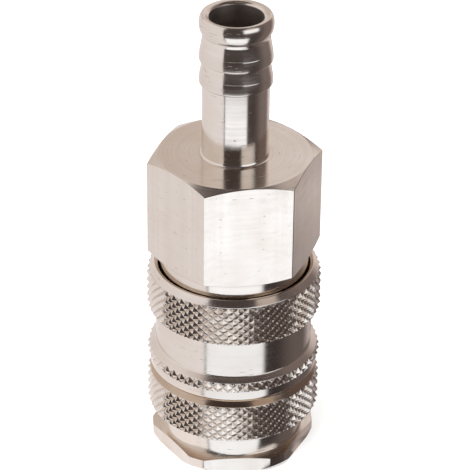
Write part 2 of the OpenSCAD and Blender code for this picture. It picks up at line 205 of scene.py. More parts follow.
def revolve(name: str, angles: np.ndarray, walls: list[Wall]) -> Object:
    """Make one closed mesh from walls that follow each other round a closed loop.

    A point is (r cos a, r sin a, z). Each square of the grid is split in two, and its
    corners run so that faces point outwards when the loop goes up outside and down
    inside. Squares of a wall with a split are flat-shaded, all others and the joins
    between walls are smooth, and each wall takes the finish with its number.

    Args:
        name: the piece's name.
        angles: the columns' angles in radians, rising, one turn in all.
        walls: the walls in order; the last joins the first.

    Returns:
        The new object, at the origin.
    """
    radius = np.concatenate([w.radius for w in walls])
    height = np.concatenate([w.height for w in walls])
    rows, cols = radius.shape
    rows_of = [len(w.radius) for w in walls]
    split = np.concatenate(
        [np.zeros(w.radius.shape, int) if w.split is None else w.split for w in walls]
    )
    flat = np.repeat([w.split is not None for w in walls], rows_of)
    flat[np.cumsum(rows_of) - 1] = False
    points = np.stack([radius * np.cos(angles), radius * np.sin(angles), height], axis=-1) * MM
    a = np.arange(rows * cols).reshape(rows, cols)
    b = np.roll(a, -1, axis=1)
    d = np.roll(a, -1, axis=0)
    c = np.roll(d, -1, axis=1)
    rising = np.stack([np.stack([a, b, c], -1), np.stack([a, c, d], -1)], 2)
    falling = np.stack([np.stack([a, b, d], -1), np.stack([b, c, d], -1)], 2)
    is_falling = split[..., None, None] == Diagonal.FALLING.value
    faces = np.where(is_falling, falling, rising).reshape(-1, 3)
    mesh = bpy.data.meshes.new(name)
    mesh.vertices.add(rows * cols)
    mesh.vertices.foreach_set("co", points.reshape(-1))
    mesh.loops.add(faces.size)
    mesh.loops.foreach_set("vertex_index", faces.reshape(-1))
    mesh.polygons.add(len(faces))
    mesh.polygons.foreach_set("loop_start", np.arange(0, faces.size, 3))
    mesh.update(calc_edges=True)
    finish = np.repeat([w.finish for w in walls], rows_of)
    mesh.polygons.foreach_set("use_smooth", np.repeat(~flat, 2 * cols))
    mesh.polygons.foreach_set("material_index", np.repeat(finish, 2 * cols).astype(np.int32))
    mesh.update()
    return add_object(name, mesh)


@dataclass
class Knurl:
    """A diamond knurl: two sets of V grooves, one of each hand, on a turned band.

    With u the turn in diamonds and v the height in diamonds, grooves lie where u + v or
    u - v is a whole number and a half. The surface rises from a groove in proportion to
    the distance from the nearer one, and eases off at the top of each pyramid. Each
    pyramid's rise is scaled by its own number, as a rolled knurl is never quite even.
    Over the last quarter diamond at both ends it runs out to the core.

    Attributes:
        lines: diamonds round the band.
        pitch: height of a diamond in millimetres.
        grip_r: radius over the tips.
        root_r: radius in the grooves.
        core_r: radius of the turned faces beside the band.
        runout_lift: how far the tips stay above the core where the knurl runs out.
        fine: columns to a diamond.
        tip: share of a pyramid's height that is eased off.
        turn: turn of the whole knurl in half diamonds.
        wear: how much lower the most worn pyramid is, as a share.
        scatter: multipliers that make a pyramid's own number from its place.
    """

    lines: int = 53
    pitch: float = 1.35
    grip_r: float = 13.93
    root_r: float = 13.345
    core_r: float = 13.42
    runout_lift: float = 0.02
    fine: int = 8
    tip: float = 0.07
    turn: float = 0.37
    wear: float = 0.18
    scatter: Triple = (12.99, 78.23, 43758.5)

    @property
    def columns(self) -> int:
        """Number of columns round the band."""
        return self.lines * self.fine

    def angles(self) -> np.ndarray:
        """The columns' angles in radians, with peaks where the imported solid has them."""
        return 2 * np.pi * (np.arange(self.columns) + self.turn * self.fine / 2) / self.columns

    def band(self, low: float, high: float) -> Wall:
        """Make the knurled wall between two heights."""
        halves = round(2 * (high - low) / self.pitch)
        u = np.arange(self.columns) / self.fine
        v = (np.arange(halves * self.fine // 2 + 1) / self.fine)[:, None]
        rise, _ = self._rise(u + v, u - v)
        height = low + (high - low) * 2 * v / halves + 0 * u
        radius = self.root_r + (self.grip_r - self.root_r) * rise * self._wear(u + v, u - v)
        end = np.minimum(height - low, high - height) * halves / (high - low)
        over_core = (self.grip_r - self.core_r) * np.minimum(1, 2.0 * end)
        radius = np.minimum(radius, self.core_r + self.runout_lift + over_core)
        u_mid, v_mid = u + 0.5 / self.fine, v + 0.5 / self.fine
        _, left = self._rise(u_mid + v_mid, u_mid - v_mid)
        return Wall(radius, height, left.astype(int), 1)

    def _wear(self, left: np.ndarray, right: np.ndarray) -> np.ndarray:
        """A pyramid's own scale: 1 less a share of the fraction of a large sine of its place."""
        by_left, by_right, large = self.scatter
        left, right = (np.mod(np.round(side), self.lines) for side in (left, right))
        return 1 - self.wear * np.mod(np.sin(by_left * left + by_right * right) * large, 1)

    def _rise(self, left: np.ndarray, right: np.ndarray) -> tuple[np.ndarray, np.ndarray]:
        """Relative height, and whether the right-hand groove is the nearer one."""
        to_left = 0.5 - np.abs(left - np.round(left))
        to_right = 0.5 - np.abs(right - np.round(right))
        nearer = 2 * np.minimum(to_left, to_right)
        over = np.maximum(0, nearer - (1 - self.tip))
        return nearer - over**2 / (2 * self.tip), to_right < to_left


# ---------------------------------------------------------------- finishes


class Shader:
    """A material's node tree, with short calls for the nodes used here."""

    def __init__(self, name: str) -> None:
        """Start an empty tree with a principled shader."""
        self.material = bpy.data.materials.new(name)
        self.tree = empty_tree(self.material)
        self.surface = self.node("BsdfPrincipled")
        self.node("OutputMaterial", Surface=self.surface.outputs[0])
        self.place = self.node("TexCoord").outputs["Object"]
        self.x, self.y, self.z = self.node("SeparateXYZ", Vector=self.place).outputs
        flat = self.pair("VectorMath", "MULTIPLY", self.place, (1, 1, 0)).outputs[0]
        self.r = self.pair("VectorMath", "LENGTH", flat, None).outputs["Value"]

    def node(self, kind: str, **inputs: object) -> bpy.types.Node:
        """Any node of this tree."""
        return add_node(self.tree, kind, **inputs)

    def pair(self, kind: str, operation: str, a: object, b: object) -> bpy.types.Node:
        """A node that does an operation on its first two inputs."""
        node = self.node(kind)
        node.operation = operation
        plug(node.inputs[0], a)
        plug(node.inputs[1], b)
        return node

    def plus(self, a: object, b: object) -> Socket:
        """The sum of two values."""
        return self.pair("Math", "ADD", a, b).outputs[0]

    def times(self, a: object, b: object) -> Socket:
        """The product of two values."""
        return self.pair("Math", "MULTIPLY", a, b).outputs[0]

    def combine(self, x: object, y: object, z: object) -> Socket:
        """A Combine XYZ node."""
        return self.node("CombineXYZ", X=x, Y=y, Z=z).outputs[0]

    def noise(self, place: object, scale: float, detail: float, rough: float) -> Socket:
        """A Noise Texture's value."""
        node = self.node("TexNoise", Vector=place, Scale=scale, Detail=detail, Roughness=rough)
        return node.outputs[0]

    def ramp(
        self, value: object, low: float, high: float, out_low: float = 0, out_high: float = 1
    ) -> Socket:
        """A clamped Map Range node."""
        node = self.node(
            "MapRange", Value=value, From_Min=low, From_Max=high, To_Min=out_low, To_Max=out_high
        )
        return node.outputs[0]

    def blend(self, share: object, a: object, b: object) -> Socket:
        """A colour Mix node."""
        node = self.node("Mix")
        node.data_type = "RGBA"
        plug(node.inputs["Factor"], share)
        colours = [s for s in node.inputs if s.type == "RGBA"]
        for socket, value in zip(colours, (a, b)):
            plug(socket, (*value, 1) if isinstance(value, tuple) else value)
        return [s for s in node.outputs if s.type == "RGBA"][0]

    def bump(self, height: object, depth: float, below: object = None) -> Socket:
        """A Bump node whose full height is depth metres, on top of another one's normal."""
        node = self.node("Bump", Strength=1.0, Distance=depth, Height=height, Normal=below)
        return node.outputs[0]

    def set(self, **values: object) -> None:
        """Plug sockets of the principled shader; underscores stand for spaces."""
        for key, value in values.items():
            plug(self.surface.inputs[key.replace("_", " ")], value)

    def turning(self, across: float, along: float) -> Socket:
        """A place whose noise is lathe lines: rings on end faces, circles on walls."""
        x = self.plus(self.times(self.x, along), self.times(self.r, across))
        return self.combine(x, self.times(self.y, along), self.times(self.z, across))


@dataclass(frozen=True)
class PlatedNickel:
    """Bright nickel plating over turned brass, with lathe lines, mottling and marks.

    Attributes:
        name: the material's name.
        tint: colour of the clean plating.
        warm: colour where it has yellowed a little.
        gloss: roughness between the lathe lines.
        dull: roughness on the lathe lines.
        line: depth of the lathe lines in metres.
        marks: strength of scratches and pits.
        worn: how sparse the scratches are; lower means more of them.
        groove: radii in mm of a knurl's root and top, or None where there is no knurl.
        flaw_tint: colour in scratches and pits.
        dirt: painted shade, the colour that a knurl's grooves darken towards.
    """

    name: str
    tint: Triple = (0.80, 0.74, 0.67)
    warm: Triple = (0.76, 0.68, 0.60)
    gloss: float = 0.10
    dull: float = 0.20
    line: float = 2.2e-6
    marks: float = 1.0
    worn: float = 0.735
    groove: Pair | None = None
    flaw_tint: Triple = (0.30, 0.25, 0.21)
    dirt: Triple = (0.40, 0.31, 0.25)

    def make(self) -> Material:
        """Build the material."""
        s = Shader(self.name)
        fine = s.noise(s.turning(across=9000, along=60), 1.0, 3, 0.6)
        broad = s.noise(s.turning(across=1600, along=25), 1.0, 2, 0.5)
        rings = s.noise(s.combine(0.0, 0.0, s.times(s.r, 1500)), 1.0, 2, 0.5)
        cloud = s.noise(s.place, 160, 3, 0.55)
        lines = s.plus(s.times(fine, 0.6), s.times(broad, 0.4))
        colour = s.blend(s.ramp(cloud, 0.35, 0.68), self.tint, self.warm)
        for mask, darker in (
            (s.ramp(rings, 0.42, 0.66, 0.0, 0.35), 0.84),
            (s.ramp(broad, 0.46, 0.66, 0.0, 0.10), 0.82),
        ):
            colour = s.blend(mask, colour, tuple(darker * v for v in self.warm))
        turned = s.ramp(lines, 0.35, 0.65, self.gloss, self.dull)
        rough = s.plus(turned, s.ramp(cloud, 0.4, 0.7, 0.0, 0.03))
        scratch = s.noise(s.turning(across=5200, along=420), 1.0, 1, 0.4)
        scratch = s.times(s.ramp(scratch, self.worn, self.worn + 0.035), self.marks)
        pit = s.times(s.ramp(s.noise(s.place, 1900, 1, 0.3), 0.825, 0.85), self.marks)
        flaw = s.pair("Math", "MAXIMUM", scratch, pit).outputs[0]
        colour = s.blend(s.times(flaw, 0.6), colour, self.flaw_tint)
        rough = s.plus(rough, s.times(flaw, 0.25))
        # Painted shade: the colour darkens towards dirt the deeper a point lies in a knurl's
        # groove.
        if self.groove is not None:
            low, high = (v * MM for v in self.groove)
            depth = s.ramp(s.r, low, high, 1.0, 0.0)
            colour = s.blend(s.times(depth, 0.25), colour, self.dirt)
            rough = s.plus(rough, s.times(depth, 0.12))
        s.set(Base_Color=colour, Metallic=1.0, Roughness=rough)
        s.set(Anisotropic=0.25, Anisotropic_Rotation=0.25)
        wave = s.bump(s.noise(s.place, 420, 2, 0.5), 1.5e-6)
        turned = s.bump(lines, self.line, below=wave)
        whole = s.pair("Math", "SUBTRACT", 1.0, flaw).outputs[0]
        s.set(Normal=s.bump(whole, 6e-6, below=turned))
        return s.material


@dataclass(frozen=True)
class TurnedMetal:
    """A plain machined or ground metal: brass, hardened balls or drawn spring wire.

    Attributes:
        name: the material's name.
        tint: the metal's colour.
        stain: colour in its darker patches.
        gloss: lowest roughness.
        dull: highest roughness.
        across: lathe or drawing lines in each metre, across their direction.
    """

    name: str
    tint: Triple
    stain: Triple
    gloss: float
    dull: float
    across: float

    def make(self) -> Material:
        """Build the material."""
        s = Shader(self.name)
        lines = s.noise(s.turning(self.across, along=80), 1.0, 3, 0.55)
        patch = s.noise(s.place, 320, 3, 0.5)
        s.set(
            Base_Color=s.blend(s.ramp(patch, 0.4, 0.75), self.tint, self.stain),
            Metallic=1.0,
            Roughness=s.ramp(lines, 0.3, 0.7, self.gloss, self.dull),
            Normal=s.bump(lines, 1e-6),
        )
        return s.material


@dataclass(frozen=True)
class SealRubber:
    """Moulded nitrile rubber: near black, matt, with a faint bloom and fine pits."""

    name: str
    tint: Triple = (0.022, 0.021, 0.022)
    bloom: Triple = (0.060, 0.058, 0.056)

    def make(self) -> Material:
        """Build the material."""
        s = Shader(self.name)
        grain = s.noise(s.place, 6000, 3, 0.6)
        cloud = s.noise(s.place, 350, 3, 0.5)
        s.set(
            Base_Color=s.blend(s.ramp(cloud, 0.45, 0.8), self.tint, self.bloom),
            Roughness=s.ramp(grain, 0.3, 0.7, 0.42, 0.62),
            Normal=s.bump(grain, 6e-6),
            Specular_IOR_Level=0.4,
        )
        return s.material


@dataclass
class Finishes:
    """One material of each finish, made once."""

    nickel: Material
    knurled: Material
    bored: Material
    thin: Material
    worn: Material
    turned: Material
    body: Material
    brass: Material
    ball: Material
    spring: Material
    rubber: Material

    @classmethod
    def make(cls) -> "Finishes":
        """Build every finish."""
        made = dict(
            nickel=PlatedNickel("nickel_plate"),
            # The knurl's finish paints shade in its grooves.
            knurled=PlatedNickel(
                "nickel_knurl", gloss=0.07, dull=0.15, marks=0.4, groove=(13.33, 13.62)
            ),
            bored=PlatedNickel(
                "nickel_bore", (0.60, 0.54, 0.49), (0.48, 0.41, 0.36), 0.34, 0.52, 5e-6, 0.6
            ),
            # thin: a darker, warmer copy of the plating, which paints shade and a warm sheen on the
            # sleeve's underside and crest and on the ring's chamfer and inner faces.
            thin=PlatedNickel(
                "nickel_thin", (0.62, 0.49, 0.38), (0.50, 0.38, 0.28), 0.10, 0.22, 3e-6, 0.5
            ),
            worn=PlatedNickel("nickel_worn", line=3e-6, worn=0.712),
            turned=PlatedNickel("nickel_turned", gloss=0.08, dull=0.22, line=6e-6, marks=0.8),
            body=PlatedNickel("nickel_body", gloss=0.13, dull=0.24, line=4e-6),
            brass=TurnedMetal(
                "turned_brass", (0.83, 0.62, 0.30), (0.62, 0.42, 0.18), 0.18, 0.32, 5000
            ),
            ball=TurnedMetal(
                "ground_ball", (0.66, 0.66, 0.67), (0.52, 0.52, 0.53), 0.05, 0.12, 9000
            ),
            spring=TurnedMetal(
                "drawn_wire", (0.50, 0.48, 0.46), (0.38, 0.36, 0.34), 0.22, 0.36, 12000
            ),
            rubber=SealRubber("seal_rubber"),
        )
        return cls(**{key: finish.make() for key, finish in made.items()})


def dress(piece: Object, *materials: Material) -> None:
    """Give a piece's slots these materials in order, or all of them the last one."""
    while len(piece.material_slots) < len(materials):
        piece.data.materials.append(materials[len(piece.material_slots)])
    for index, slot in enumerate(piece.material_slots):
        slot.material = materials[min(index, len(materials) - 1)]


def place(piece: Object, body: str, slot: Slot, *nodes: str) -> Object:
    """Let a piece ride on its body and stand for its solids."""
    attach(piece, body)
    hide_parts(*nodes)
    faces = len(piece.data.polygons)
    LOG.info("%s: %d faces, stands for %s", piece.name, faces, ", ".join(nodes))
    return piece


# ---------------------------------------------------------------- sub-assemblies


@dataclass
class HoseTail:
    """Hexagon and barbed hose tail, turned from one hexagonal bar.

    The lower end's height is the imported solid's. Fields are in millimetres and degrees.
    In the outlines, offsets of a few hundredths are points beside a corner that keep
    the face next to it flat.
    """

    skirt_r: float = 11.80
    skirt_chamfer: float = 0.4
    hex_z0: float = 34.70
    hex_z1: float = 51.90
    hex_r: float = 12.00
    face_r: float = 11.86
    slope: float = 24.0
    corner_cut: float = 0.11
    edge_cut: float = 0.07
    tail_r: float = 5.19
    crest_r: float = 5.68
    bead_r: float = 5.72
    bore_r: float = 4.15
    thread_r: float = 8.55
    thread_chamfer: float = 0.3
    gasket_r: float = 6.95
    shoulder_z: float = 41.0
    fillet: float = 0.45
    barb_rise: float = 12.5
    barb_pitch: float = 3.85
    barbs: int = 2
    front_slope: float = 10.0
    front_round: float = 8.0
    back_slope: float = 70.0
    back_round: float = 0.28
    groove_rise: float = 1.6
    groove_depth: float = 0.03
    bead_z: float = 74.0
    bead_low: Pair = (1.15, 2.0)
    crown: Pair = (5.15, 75.45)
    lip: Pair = (4.23, 75.08)
    flat_steps: int = 40

    def columns(self) -> tuple[np.ndarray, np.ndarray]:
        """Angles and radii of the hexagon's section.

        The section is a hexagon with two flats across Y, whose corners are rounded,
        with evenly spaced points along each flat.

        Returns:
            The columns' angles in radians, and the section's radius at each.
        """
        a = np.radians(np.arange(6) * 60.0)
        corner_r = self.hex_r / math.cos(math.radians(30))
        corners = corner_r * np.stack([np.cos(a), np.sin(a)], -1)
        looped = np.concatenate([corners[-1:], corners, corners[:1]])
        cuts = np.array([0.0] + [self.corner_cut] * 6 + [0.0])
        rounded = softened(looped, cuts, steps=4, lead=0.05)[2:-2].reshape(6, -1, 2)
        after = np.roll(rounded, -1, axis=0)[:, :1]
        s = np.linspace(0, 1, self.flat_steps + 2)[1:-1][None, :, None]
        flats = rounded[:, -1:] * (1 - s) + after * s
        section = np.concatenate([rounded, flats], axis=1).reshape(-1, 2)
        angles = np.unwrap(np.arctan2(section[:, 1], section[:, 0]))
        return angles, np.linalg.norm(section, axis=1)

    def front_rise(self, radius: float) -> float:
        """Height over a crest at which the slim front comes down to a radius."""
        a = math.radians(self.front_slope)
        drop = self.crest_r - self.front_round * (1 - math.cos(a)) - radius
        return self.front_round * math.sin(a) + drop / math.tan(a)

    def back_drop(self, radius: float) -> float:
        """Depth below a crest at which its back comes down to a radius."""
        a = math.radians(self.back_slope)
        drop = self.crest_r - self.back_round * (1 - math.cos(a)) - radius
        return self.back_round * math.sin(a) + drop / math.tan(a)

    def valley_r(self) -> float:
        """Radius at which one barb's front meets the next one's back."""
        spare = self.barb_pitch - self.front_rise(self.crest_r) - self.back_drop(self.crest_r)
        both = sum(1 / math.tan(math.radians(a)) for a in (self.front_slope, self.back_slope))
        return max(self.tail_r, self.crest_r - spare / both)

    def turned_groove(self, start: np.ndarray, height: float) -> np.ndarray:
        """Corners of a shallow V groove on a barb's front, at a height above its start."""
        slope = math.tan(math.radians(self.front_slope))
        z = height + np.array([-0.12, -0.07, 0.0, 0.07, 0.12])
        r = start[0] - (z - start[1]) * slope - np.array([0, 0, self.groove_depth, 0, 0])
        return np.stack([r, z], -1)

    def tail_outline(self) -> np.ndarray:
        """Outline of the tail from the fillet at the hexagon up to the bore's mouth.

        The bead is made of quarters of ellipses that meet at the widest circle and at the
        crown. From there its lip falls as the square of the way in. Each barb's front has
        a shallow turned groove.

        Returns:
            Points of radius and height, going up outside and ending in the bore.
        """
        base = self.hex_z1
        crests = [base + self.barb_rise + k * self.barb_pitch for k in range(self.barbs)]
        parts = [arc((self.tail_r + self.fillet, base + self.fillet), self.fillet, 270, 180, 8)]
        parts.append(np.array([[self.tail_r, base + self.fillet + 0.05]]))
        low_r = self.tail_r
        for crest in crests:
            foot = crest - self.back_drop(low_r)
            parts.append(np.array([
                [low_r, foot - 0.06], [low_r, foot - 0.01], [low_r + 0.05, foot + 0.01],
            ]))
            back = (self.crest_r - self.back_round, crest)
            parts.append(arc(back, self.back_round, -self.back_slope, 0, 5))
            front = (self.crest_r - self.front_round, crest)
            parts.append(arc(front, self.front_round, 0.5, self.front_slope, 6))
            parts.append(self.turned_groove(parts[-1][-1], crest + self.groove_rise))
            low_r = self.valley_r()
        deep, low = self.bead_low
        foot_a = -math.degrees(math.acos((self.tail_r - self.bead_r + deep) / deep))
        parts.append(np.array([[self.tail_r, crests[-1] + self.front_rise(self.tail_r)]]))
        lower = arc((0, 0), 1.0, foot_a, 0, 14) * [deep, low] + [self.bead_r - deep, self.bead_z]
        crown_r, crown_z = self.crown
        upper = arc((0, 0), 1.0, 0, 90, 16)[1:] * [self.bead_r - crown_r, crown_z - self.bead_z]
        upper += [crown_r, self.bead_z]
        lip_r, lip_z = self.lip
        t = np.linspace(0, 1, 9)[1:]
        inner = np.stack([crown_r + (lip_r - crown_r) * t, crown_z + (lip_z - crown_z) * t**2], -1)
        parts += [lower, upper, inner]
        return np.concatenate(parts)

    def build(self, finishes: Finishes) -> Object:
        """Turn the piece and put it in the place of its solid."""
        low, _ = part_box("hose_tail_adapter")
        z0 = low.z / MM
        angles, section = self.columns()
        count = len(angles)
        one = np.ones(count)
        drop = (section - self.face_r) * math.tan(math.radians(self.slope))

        def ring(r: float | np.ndarray, z: float | np.ndarray) -> np.ndarray:
            """One corner of every column's outline."""
            return np.stack([r * one, z * one], -1)

        foot = [
            ring((self.thread_r + self.skirt_r) / 2, z0),
            ring(self.skirt_r - self.skirt_chamfer, z0),
            ring(self.skirt_r, z0 + self.skirt_chamfer),
            ring(self.skirt_r, self.hex_z0),
            ring(self.face_r, self.hex_z0 + 0.01),
            ring(section, self.hex_z0 + drop),
            ring(section, self.hex_z1 - drop),
            ring(self.face_r, self.hex_z1),
            ring(self.tail_r + self.fillet + 0.02, self.hex_z1),
        ]
        cuts = np.array([0, 0.06, 0.06, 0.02, 0.02, self.edge_cut, self.edge_cut, 0.05, 0])
        hexagon = softened(np.stack(foot), cuts)
        tail = self.tail_outline()
        funnel = self.gasket_r - self.bore_r
        inside = np.array([
            [self.bore_r + 0.04, self.lip[1] - 0.04], [self.bore_r, self.lip[1] - 0.14],
            [self.bore_r, self.shoulder_z + funnel],
            [self.gasket_r, self.shoulder_z], [self.thread_r, self.shoulder_z],
            [self.thread_r, z0 + self.thread_chamfer], [self.thread_r + self.thread_chamfer, z0],
        ])
        inside = softened(inside, np.array([0, 0.03, 0.05, 0.05, 0.05, 0.05, 0.05]))
        walls = [Wall.of(hexagon, count), Wall.of(tail, count, 2), Wall.of(inside, count, 1)]
        piece = revolve("hose_tail_turned", angles, walls)
        dress(piece, finishes.nickel, finishes.bored, finishes.worn)
        return place(piece, "body", Slot.NICKEL, "hose_tail_adapter")


@dataclass
class ReleaseSleeve:
    """Release sleeve with two knurled bands and a smooth band between them."""

    knurl: Knurl
    stop_bore_r: float = 10.6
    stop_z: float = 15.5
    low_knurl: Pair = (16.2, 17.8)
    band: Pair = (18.52, 25.0)
    band_r: float = 12.46
    top_knurl: Pair = (25.0, 31.7)
    land: Pair = (17.9, 20.5)
    land_r: float = 8.56
    recess_r: float = 9.6
    chamber_r: float = 11.0
    chamber_z: float = 26.0
    bore_r: float = 12.05
    rim_r: float = 12.72

    def build(self, finishes: Finishes) -> Object:
        """Turn and knurl the sleeve and put it in the place of its solid."""
        low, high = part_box("release_sleeve")
        z0, z1 = low.z / MM, high.z / MM
        core = self.knurl.core_r
        foot = np.array([
            [(self.stop_bore_r + core) / 2, z0], [core, z0], [core, self.low_knurl[0]],
        ])
        middle = np.array([
            [core, self.low_knurl[1]], [core, self.low_knurl[1] + 0.06],
            [self.band_r, self.band[0]], [self.band_r, self.band[1] - 0.12],
        ])
        under = np.array([
            [self.band_r, self.band[1] - 0.06], [self.band_r + 0.04, self.band[1] - 0.02],
            [core - 0.15, self.band[1] - 0.02], [core, self.band[1]],
        ])
        ramp = self.recess_r - self.land_r
        slope = np.array([
            [core, self.top_knurl[1]], [core, self.top_knurl[1] + 0.12],
            [self.rim_r + 0.1, z1 - 0.2], [self.rim_r - 0.05, z1 - 0.03],
        ])
        crest = np.array([
            [self.rim_r - 0.1, z1], [self.rim_r - 0.14, z1],
            [self.bore_r + 0.28, z1], [self.bore_r + 0.24, z1 - 0.01],
        ])
        rim = np.array([
            [self.bore_r + 0.22, z1 - 0.02], [self.bore_r, z1 - 0.24],
            [self.bore_r, self.chamber_z], [self.chamber_r, self.chamber_z],
            [self.chamber_r, self.land[1]], [self.land_r, self.land[1]],
            [self.land_r, self.land[0]],
            [self.recess_r, self.land[0] - ramp], [self.recess_r, self.stop_z],
            [self.stop_bore_r, self.stop_z], [self.stop_bore_r, z0],
            [(self.stop_bore_r + core) / 2 - 0.05, z0],
        ])
        count = self.knurl.columns
        angles = self.knurl.angles()
        walls = [
            Wall.of(softened(foot, np.array([0, 0.42, 0]), steps=6), count, 3),
            self.knurl.band(*self.low_knurl),
            Wall.of(softened(middle, np.array([0, 0.05, 0.12, 0])), count, 3),
            # Finish 2 on the underside: painted shade and warm sheen.
            Wall.of(under, count, 2),
            self.knurl.band(*self.top_knurl),
            Wall.of(softened(slope, np.array([0, 0.05, 0.1, 0])), count),
            # Finish 2 on the crest: painted shade and warm sheen.
            Wall.of(crest, count, 2),
            Wall.of(softened(rim, np.array([0, 0.1] + [0.04] * 8 + [0.1, 0])), count),
        ]
        piece = revolve("release_sleeve_turned", angles, walls)
        dress(piece, finishes.nickel, finishes.knurled, finishes.thin, finishes.turned)
        return place(piece, "sleeve", Slot.KNURLED, "release_sleeve")


@dataclass
class SafetyRing:
    """Knurled safety ring below the sleeve, with its chamfer's width a share of its height."""

    knurl: Knurl
    bore_r: float = 11.5
    web_z: float = 11.7
    land_r: float = 8.56
    land_z: float = 12.9
    recess_r: float = 9.6
    foot: float = 0.2
    chamfer: float = 1.2
    chamfer_in: float = 0.8

    def build(self, finishes: Finishes) -> Object:
        """Turn and knurl the ring and put it in the place of its solid."""
        low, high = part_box("safety_ring")
        z0, z1 = low.z / MM, high.z / MM
        core = self.knurl.core_r
        top = z1 - self.chamfer
        ramp = self.recess_r - self.land_r
        bottom = np.array([
            [(self.bore_r + core) / 2, z0], [core - self.foot, z0],
            [core, z0 + self.foot], [core, z0 + self.foot + 0.1],
        ])
        shoulder = np.array([
            [core, top - 0.08], [core, top], [core - self.chamfer * self.chamfer_in, z1],
            [self.recess_r, z1],
            [self.recess_r, self.land_z + ramp], [self.land_r, self.land_z],
            [self.land_r, self.web_z], [self.bore_r, self.web_z], [self.bore_r, z0],
            [(self.bore_r + core) / 2 - 0.05, z0],
        ])
        cuts = np.array([0, 0.06, 0.7] + [0.05] * 5 + [0.08, 0])
        count = self.knurl.columns
        angles = self.knurl.angles()
        walls = [
            Wall.of(softened(bottom, np.array([0, 0.08, 0.08, 0])), count),
            self.knurl.band(z0 + self.foot + 0.12, top - 0.12),
            # Finish 2 on the chamfer and inner faces: painted shade and warm sheen.
            Wall.of(softened(shoulder, cuts, steps=6), count, 2),
        ]
        piece = revolve("safety_ring_turned", angles, walls)
        dress(piece, finishes.nickel, finishes.knurled, finishes.thin)
        return place(piece, "ring", Slot.KNURLED, "safety_ring")


@dataclass
class CoilSpring:
    """A compression spring with closed ends, wound to fill its solid's box.

    Fields are in millimetres. The winding stays a little inside the solid's box, and
    a closed turn rises by its share of the wire.
    """

    node: str
    joint: str
    travel: float
    fixed_top: bool
    mid_r: float
    wire: float
    turns: float
    inset: float = 0.02
    closed_share: float = 1.04
    steps: int = 48
    sides: int = 12

    def build(self, finishes: Finishes) -> Object:
        """Wind the wire and put it in the place of its solid.

        With t the turn and b the angle round the wire, a point has the radius
        mid_r + wire / 2 cos b and lies wire / 2 sin b over the helix, whose first and
        last turn rise by little more than the wire.
        """
        low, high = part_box(self.node)
        z0, z1 = low.z / MM + self.inset, high.z / MM - self.inset
        closed = self.closed_share * self.wire
        rise = z1 - z0 - self.wire - 2 * closed
        t = np.linspace(0, self.turns, round(self.turns * self.steps) + 1)
        ends = [0, 1, self.turns - 1, self.turns]
        height = np.interp(t, ends, [0, closed, closed + rise, 2 * closed + rise])
        b = 2 * np.pi * np.arange(self.sides) / self.sides
        radius = self.mid_r + self.wire / 2 * np.cos(b)
        z = z0 + self.wire / 2 + height[:, None] + self.wire / 2 * np.sin(b)
        a = 2 * np.pi * t[:, None]
        points = np.stack([radius * np.cos(a), radius * np.sin(a), z], -1) * MM
        index = np.arange(points.shape[0] * self.sides).reshape(-1, self.sides)
        after = np.roll(index, -1, axis=1)
        quads = np.stack([index[:-1], index[1:], after[1:], after[:-1]], -1).reshape(-1, 4)
        mesh = bpy.data.meshes.new(self.node + "_wound")
        caps = [index[0].tolist(), index[-1, ::-1].tolist()]
        mesh.from_pydata(points.reshape(-1, 3).tolist(), [], quads.tolist() + caps)
        mesh.polygons.foreach_set("use_smooth", np.arange(len(mesh.polygons)) < len(quads))
        piece = add_object(self.node + "_wound", mesh)
        dress(piece, finishes.spring)
        place(piece, "body", Slot.SPRING, self.node)
        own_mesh(piece)
        return piece


@dataclass
class Mechanism:
    """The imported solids, of which body, balls, seals and valve are seen as they are."""

    finishes: Finishes

    def build(self) -> None:
        """Give every solid its finish, those too that another piece stands for."""
        f = self.finishes
        chosen = {
            "coupling_body": f.body,
            "stop_ring": f.spring,
            "sleeve_spring": f.spring,
            "ring_spring": f.spring,
            "valve_spring": f.spring,
            "plug_seal": f.rubber,
            "valve_seal": f.rubber,
            "thread_seal": f.rubber,
            "valve_poppet": f.brass,
            "valve_guide": f.brass,
        }
        for name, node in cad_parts.items():
            material = f.ball if "_ball_" in name else chosen.get(name, f.nickel)
            dress(node, material)
            LOG.info("%s: finish %s", name, material.name)


# ---------------------------------------------------------------- studio


